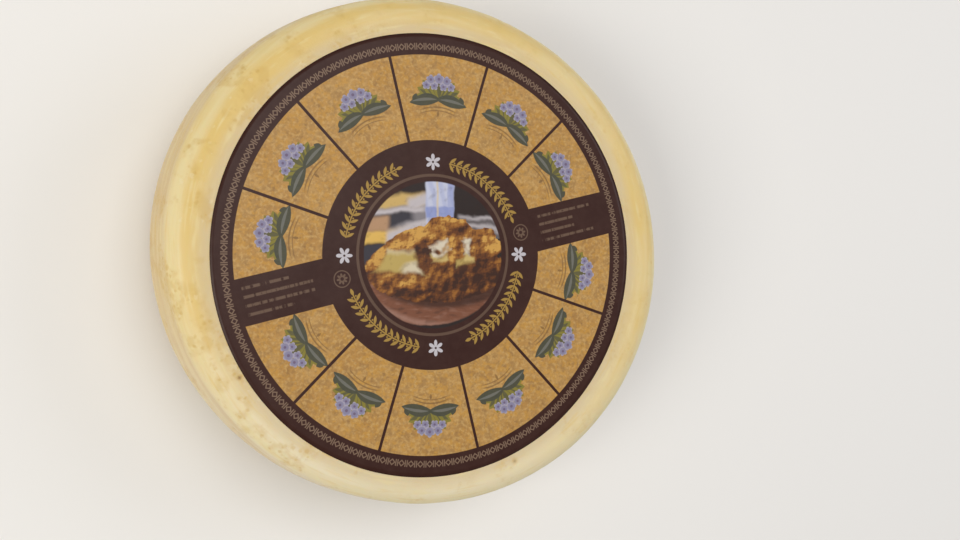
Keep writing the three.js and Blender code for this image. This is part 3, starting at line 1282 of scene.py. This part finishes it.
def paint_mound(recipe, place, x, y, paint):
    """The baked maize: its outline, its lit and dark sides, and the shaded side of every crumb."""
    mound = recipe.either(*[ellipse(recipe, x, y, *part, soft=0.05) for part in MOUND_SHAPE])
    lumps, high = relief(recipe, place, 9.0)
    crumbs, _ = relief(recipe, place, 2.8)
    lit = y * 0.024 - x * 0.004 + lumps + crumbs * 0.42 + (high - 0.5) * 1.5
    for middle, half_width, half_height, strength in MOUND_LIGHT:
        lit = lit + ellipse(recipe, x, y, middle, half_width, half_height, soft=1.4) * strength
    baked = recipe.coats(
        CRUST_BROWN,
        (recipe.ramp(lit, -0.6, 0.15), CRUST_GOLD),
        (recipe.ramp(lit, 0.1, 0.95), CRUST_BRIGHT),
        (recipe.ramp(crumbs, -0.1, -0.8) * 0.55, CRUST_BROWN),
        (recipe.ramp(lit, -0.5, -1.2) * 0.9, CRUST_SHADOW),
    )
    return recipe.paint(paint, mound, baked)


print("the mound has", len(MOUND_LIGHT), "soft lights and shadows")

# %% [markdown]
# ## The melting cheese, and the whole picture
# A large slice lies on the left of the mound and small pieces on the right, each with a soft shadow below
# that presses it into the crumbs. Every edge in the picture is bent by noise, because nothing in a real
# dish has a clean outline.

# %% Lay on the cheese and finish the dish
CHEESE_OLIVE = colour(184, 160, 92)
CHEESE_YELLOW = colour(202, 178, 112)
CHEESE_WHITE = colour(216, 206, 184)
SLAB_MIDDLE = (-20.5, -3.5)
SMALL_PIECES = (  # middle, turn, half length, half width and colour
    ((3.0, -1.5), 5, 5.0, 2.2, CHEESE_YELLOW),
    ((3.5, 4.0), 25, 5.4, 3.4, CHEESE_WHITE),
    ((19.8, 5.0), 86, 4.8, 1.6, CHEESE_WHITE),
    ((17.5, -4.0), 20, 4.4, 2.0, CHEESE_OLIVE),
    ((21.0, -1.5), -10, 3.0, 1.8, CHEESE_YELLOW),
)


def paint_slab(recipe, x, y, paint):
    """A large slice of melting cheese, wider below, with a pale upper edge and a white corner."""
    wide = (x - SLAB_MIDDLE[0]) * ((y - SLAB_MIDDLE[1]) * 0.05 + 1.0) + SLAB_MIDDLE[0]
    shadow = block(recipe, wide - 1.5, y + 2.0, SLAB_MIDDLE, -4, 10.6, 6.5, 5.0)
    slab = block(recipe, wide, y, SLAB_MIDDLE, -4, 9.8, 6.2, 3.6)
    corner = ellipse(recipe, x, y, (-12.5, -8.5), 6.5, 4.5, soft=1.7)
    tone = recipe.coats(
        CHEESE_OLIVE,
        (recipe.ramp(y, -1.0, 3.2) * 0.5, CHEESE_WHITE),
        (corner * 0.75, CHEESE_WHITE),
    )
    return recipe.coats(paint, (shadow * 0.6, CRUST_BROWN), (slab * 0.95, tone))


def paint_small_pieces(recipe, place, x, y, paint):
    """White and yellow pieces of cheese on the right, each with a shadow below."""
    melt = recipe.cloud(place, 5.0, detail=1.0)
    for middle, turn, half_length, half_width, tone in SMALL_PIECES:
        shadow = block(recipe, x - 0.8, y + 1.5, middle, turn, half_length, half_width, 4.0)
        piece = block(recipe, x, y, middle, turn, half_length, half_width, 2.6)
        piece = piece * recipe.ramp(melt, 0.2, 0.5)
        paint = recipe.coats(paint, (shadow * 0.5, CRUST_BROWN), (piece * 0.88, tone))
    return paint


def build_dish_picture():
    """Input: place in mm from the label's middle. Output: the colour of the picture."""
    group, recipe, given, result = new_group("dish_picture", {"Place": "vector"}, {"Colour": "colour"})
    place = given["Place"]
    x, y, _ = recipe.parts(place)
    ragged = recipe.cloud(place, 3.0, detail=2.0) - 0.5
    bent_x = x + (recipe.cloud(place, 6.0) - 0.5) * 5.0 + ragged * 2.5
    bent_y = y + (recipe.cloud(place, 9.0) - 0.5) * 5.0 + ragged * 3.0
    swayed = (recipe.cloud(place, 12.0) - 0.5) * 5.0
    paint = paint_table(recipe, x + swayed * 0.5, y + swayed + ragged)
    paint = paint_plate(recipe, x, y + ragged, paint)
    paint = paint_mound(recipe, place, bent_x, bent_y, paint)
    paint = paint_slab(recipe, x + swayed + ragged * 2.0, y + swayed + ragged * 1.5, paint)
    paint = paint_small_pieces(recipe, place, bent_x, bent_y, paint)
    shade, _ = relief(recipe, place, 6.0)
    paint = recipe.paint(paint, recipe.ramp(shade, -0.1, -1.3) * 0.4, CRUST_SHADOW)
    recipe.feed(result.inputs["Colour"], paint)
    return group


dish_picture = build_dish_picture()
print("dish_picture:", len(dish_picture.nodes), "nodes")

# %% [markdown]
# ## The whole print
# The label is laid out like a clock: rings by radius, fields by angle. Folding means that one angle
# stands for several: the fields repeat after half a turn and the garlands after a quarter, so each
# drawing is made once. Lengths and radii are in millimetres here, and angles in degrees.

# %% Lay out the fields
BAR_ANGLE = 13.6
SPOKE_ANGLES = (30.3, 58.7)  # from the first spoke, which stands square to the bars
SPOKE_HALF_WIDTH = 0.85
SPRIG_ANGLES = (15.15, 44.5, 70.3)  # from the same spoke
SPRIG_RADIUS = 91.8
SPRIG_SCALE = 1.08


def folded(recipe, degrees, start, span):
    """The angle from the nearest of several directions that lie span degrees apart."""
    turned_on = (degrees - (start - span / 2)) / span
    return (recipe.math("FRACT", turned_on) - 0.5) * span


def lay_out_fields(recipe, degrees, radius):
    """Where a point lies in its field's sprig, and the mask of the spokes between the fields."""
    from_square = folded(recipe, degrees, BAR_ANGLE + 90, 180.0)
    away = abs(from_square)
    spoke, from_sprig = away, away - SPRIG_ANGLES[0]
    for field, angle in enumerate(SPOKE_ANGLES):
        spoke = recipe.math("MINIMUM", spoke, abs(away - angle))
        step = SPRIG_ANGLES[field + 1] - SPRIG_ANGLES[field]
        from_sprig = from_sprig - recipe.math("GREATER_THAN", away, angle) * step
    spokes = recipe.under(spoke * radius * math.radians(1), SPOKE_HALF_WIDTH, PRINT_EDGE)
    local = from_sprig * recipe.math("SIGN", from_square) * math.radians(1)
    across = recipe.math("SINE", local) * radius * (-1 / SPRIG_SCALE)
    up = (recipe.math("COSINE", local) * radius - SPRIG_RADIUS) / SPRIG_SCALE
    return across, up, spokes


print("fields:", 4 * len(SPRIG_ANGLES))

# %% [markdown]
# The layers go on as a printer would print them: straw ground, sprigs, the dark brown of the bars, spokes
# and rings, the pale marks on it, and last the gold, the white and the picture. The dark ink has a little
# more gloss than the paper, and both catch the lamps as a faint haze.

# %% Print the label
INK_BROWN = colour(53, 26, 19)
INK_BROWN_WORN = colour(62, 37, 30)
INK_WEAR_SIZES = (14.0, 4.0)
INK_GOLD = colour(160, 128, 62)
INK_WHITE = colour(198, 193, 198)
INK_PALE = colour(146, 121, 100)
OUTER_RING_FROM = 113.0
INNER_RING_TO = 64.9
PICTURE_RADIUS = 41.4
FINE_RING = (44.2, 45.8)
BAR_HALF_WIDTH = 12.75
GARLAND_ANGLE = 52.75
GARLAND_RADIUS = 52.5
ROSETTE_ANGLE = 14.2
ROSETTE_RADIUS = 55.4


def worn_ink(recipe, place):
    """The dark brown, a little paler where it has rubbed off in large and in small patches."""
    ink = INK_BROWN
    for size in INK_WEAR_SIZES:
        ink = recipe.paint(ink, patches_of(recipe, place, size, 0.55, 0.2) * 0.5, INK_BROWN_WORN)
    return ink


def print_layers(recipe, place):
    """The label's colour, and where dark ink lies."""
    x, y, _ = recipe.parts(place)
    radius = recipe.math("SQRT", x * x + y * y)
    degrees = recipe.math("ARCTAN2", y, x) * math.degrees(1)
    across, up, spokes = lay_out_fields(recipe, degrees, radius)
    sprig = recipe.use(flower_sprig, Across=across, Up=up)

    tilt = math.radians(BAR_ANGLE)
    out = x * math.cos(tilt) + y * math.sin(tilt)
    over = y * math.cos(tilt) - x * math.sin(tilt)
    bars = recipe.under(abs(over), BAR_HALF_WIDTH, PRINT_EDGE)
    fields = recipe.between(radius, INNER_RING_TO, OUTER_RING_FROM, PRINT_EDGE)
    dark = recipe.either(spokes, bars, 1.0 - fields)

    lines = recipe.use(ruled_lines, Out=out, Across=over)["Mask"] * fields
    border = recipe.use(lozenge_border, Degrees=degrees, Radius=radius)["Mask"]
    fine_ring = recipe.between(radius, *FINE_RING, PRINT_EDGE)
    from_rosette = folded(recipe, degrees, ROSETTE_ANGLE, 180.0) * (-math.radians(1) * ROSETTE_RADIUS)
    stamp = recipe.use(rosette, Across=from_rosette, Up=radius - ROSETTE_RADIUS)["Mask"]
    from_garland = folded(recipe, degrees, GARLAND_ANGLE, 90.0) * (-math.radians(1) * GARLAND_RADIUS)
    garland = recipe.use(leaf_garland, Along=from_garland, Off=radius - GARLAND_RADIUS)
    picture = recipe.use(dish_picture, Place=place)["Colour"]

    paint = recipe.coats(
        recipe.use(straw_paper, Place=place)["Colour"],
        (sprig["Mask"] * 0.92, sprig["Colour"]),
        (dark, worn_ink(recipe, place)),
        (recipe.either(lines * 0.37, border * 0.64, fine_ring * 0.28, stamp * 0.4), INK_PALE),
        (garland["Gold"], INK_GOLD),
        (garland["White"] * 0.9, INK_WHITE),
        (recipe.under(radius, PICTURE_RADIUS, 0.8), picture),
    )
    return paint, dark


def make_printed_paper():
    material, recipe, shader = new_material("printed_paper")
    moved = recipe.node("ShaderNodeVectorMath", operation="SUBTRACT")
    recipe.feed(moved.inputs[0], recipe.place_in_mm())
    moved.inputs[1].default_value = (label_centre.x / MM, label_centre.y / MM, 0)
    place = moved.outputs[0]
    paint, dark = print_layers(recipe, place)
    recipe.feed(shader.inputs["Base Color"], paint)
    grain = grain_of(recipe, place, 1.4)
    recipe.feed(shader.inputs["Roughness"], 0.34 - dark * 0.03 + grain * 0.1)
    add_bump(recipe, shader, grain, 0.04 * MM)
    shader.inputs["Specular IOR Level"].default_value = 0.2
    return material


label.data.materials.append(make_printed_paper())
print("printed_paper:", len(label.data.materials[0].node_tree.nodes), "nodes beside its groups")

# %% [markdown]
# The cut edge and the underside show the bare paper: off-white, with the same grain, and slightly
# yellowed where the cheese has wetted it.

# %% Leave the edge and the underside bare
PAPER_BARE = colour(222, 214, 200)
PAPER_DAMP = colour(212, 196, 160)


def make_bare_paper():
    material, recipe, shader = new_material("bare_paper")
    place = recipe.place_in_mm()
    damp = patches_of(recipe, place, 20, 0.5, 0.15)
    recipe.feed(shader.inputs["Base Color"], recipe.paint(PAPER_BARE, damp * 0.7, PAPER_DAMP))
    add_bump(recipe, shader, grain_of(recipe, place, 2.0), 0.03 * MM)
    shader.inputs["Roughness"].default_value = 0.7
    return material


label.data.materials.append(make_bare_paper())
print("label_sheet's materials:", [m.name for m in label.data.materials])

# %% [markdown]
# ## Hand the pieces to the frame
# Each piece rides on the body of the part. The CAD nodes stay in the model for collision but aren't seen.

# %% Tie the pieces to the model
for piece, node, slot in ((cheese, "cheese_wheel", "rind"), (label, "paper_label", "printed_paper")):
    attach(piece, "root")
    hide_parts(node)
